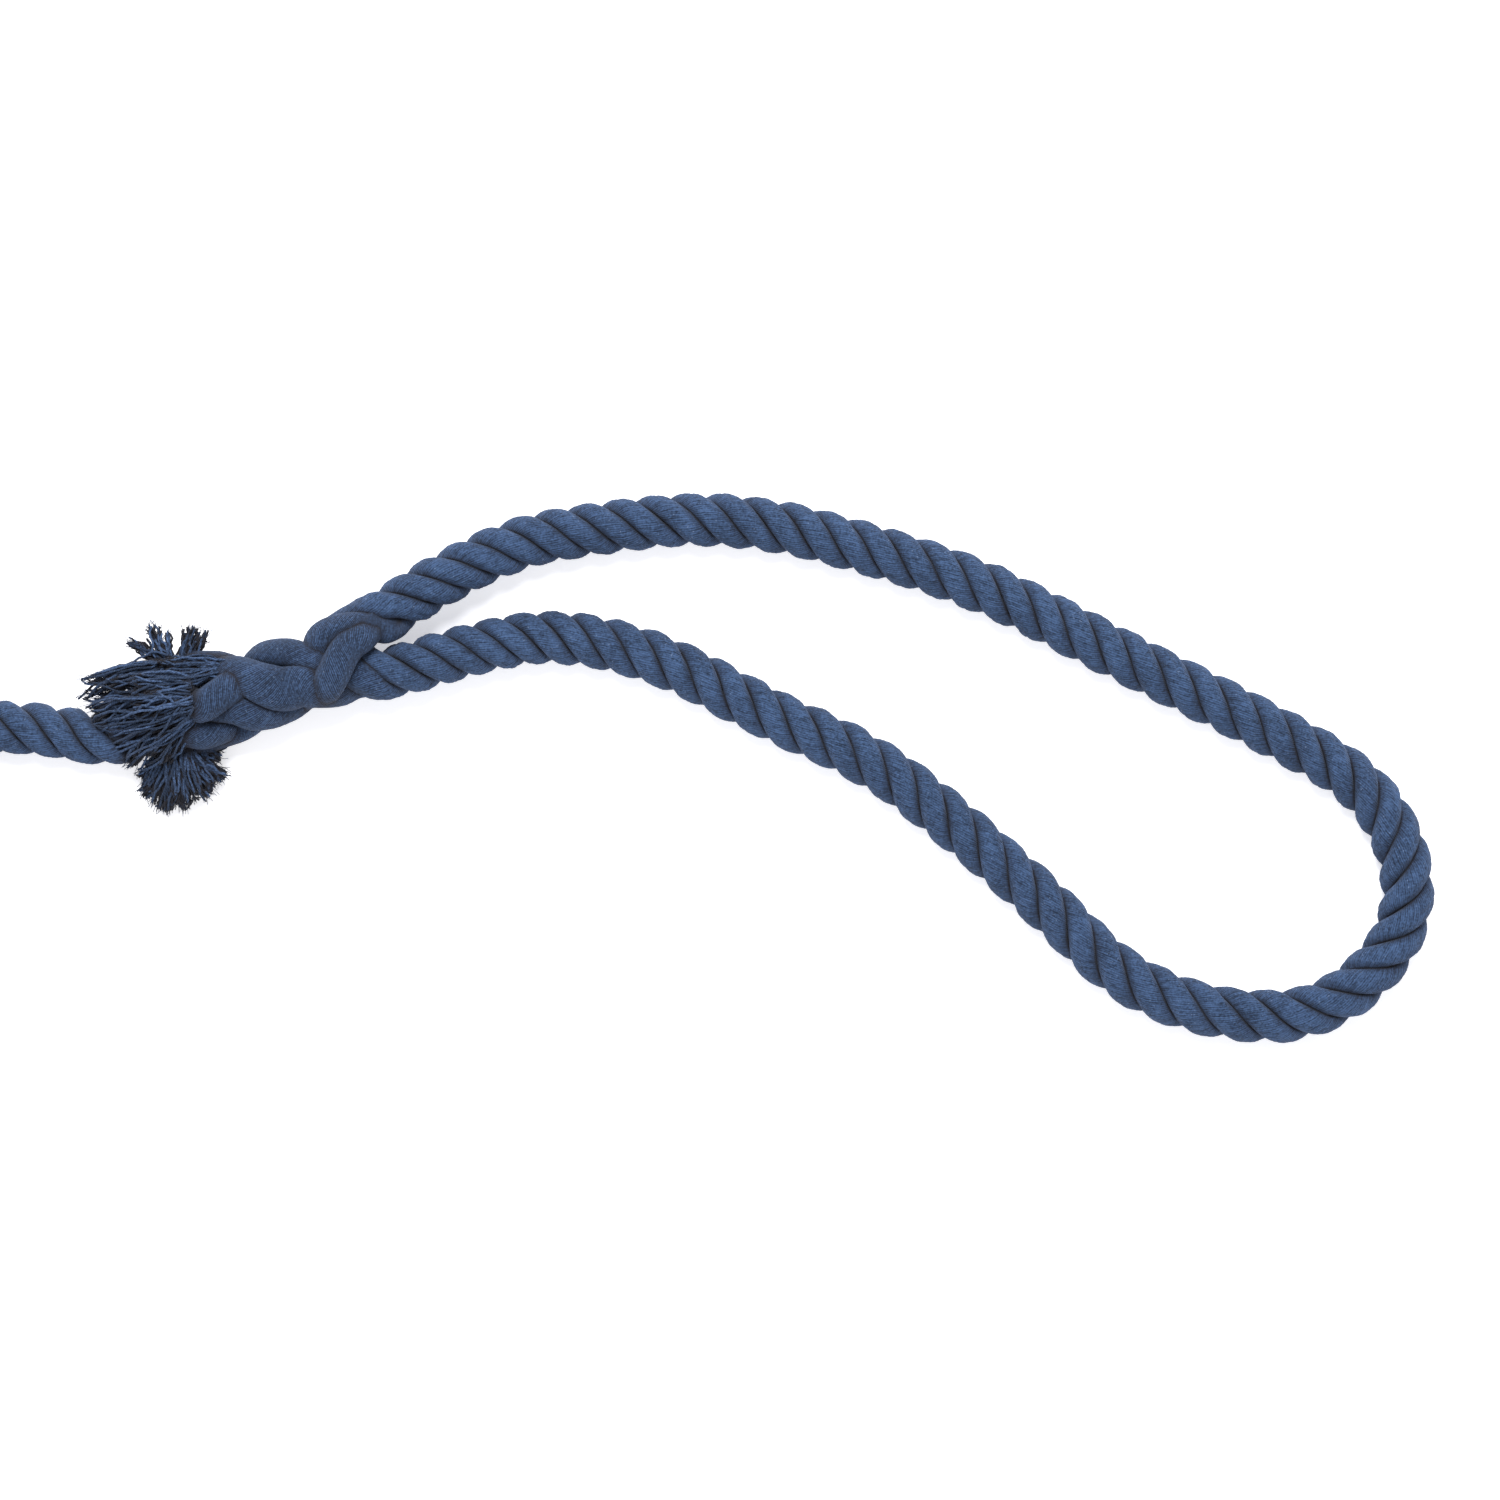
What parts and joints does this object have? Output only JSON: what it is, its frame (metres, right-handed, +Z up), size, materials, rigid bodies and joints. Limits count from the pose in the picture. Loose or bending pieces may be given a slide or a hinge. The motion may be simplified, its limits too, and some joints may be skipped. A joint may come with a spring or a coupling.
{
  "type": "coiled dock line",
  "caption": "Soft three-strand cotton dock line with a hand-spliced eye and frayed tuck ends, its length put away in a tied coil.",
  "frame": {"origin": "on the surface that the line lies on, under the throat of the eye, where the rope's end is spliced back into the line", "axes": "+X from the throat along the eye to its round end, +Y across the eye towards its spliced leg, +Z up off the surface"},
  "size_m": [0.5408, 0.1812, 0.051],
  "materials": {
    "rope": "navy cotton yarns, soft and matt, laid up right-handed",
    "yarn_ends": "cut ends of navy cotton yarns, loose and matt",
    "twine": "waxed dark navy twine, slightly shiny"
  },
  "bodies": {
    "root": {"eye_rope": "rope", "splice_core": "rope", "standing_part": "rope", "rope_coil": "rope", "bitter_end": "rope", "tucked_strand_1": "rope", "tucked_strand_2": "rope", "tucked_strand_3": "rope", "frayed_end_1": "yarn_ends", "frayed_end_2": "yarn_ends", "frayed_end_3": "yarn_ends", "end_whipping": "twine", "coil_tie_1": "twine", "coil_tie_2": "twine", "coil_tie_3": "twine"}
  },
  "joints": []
}
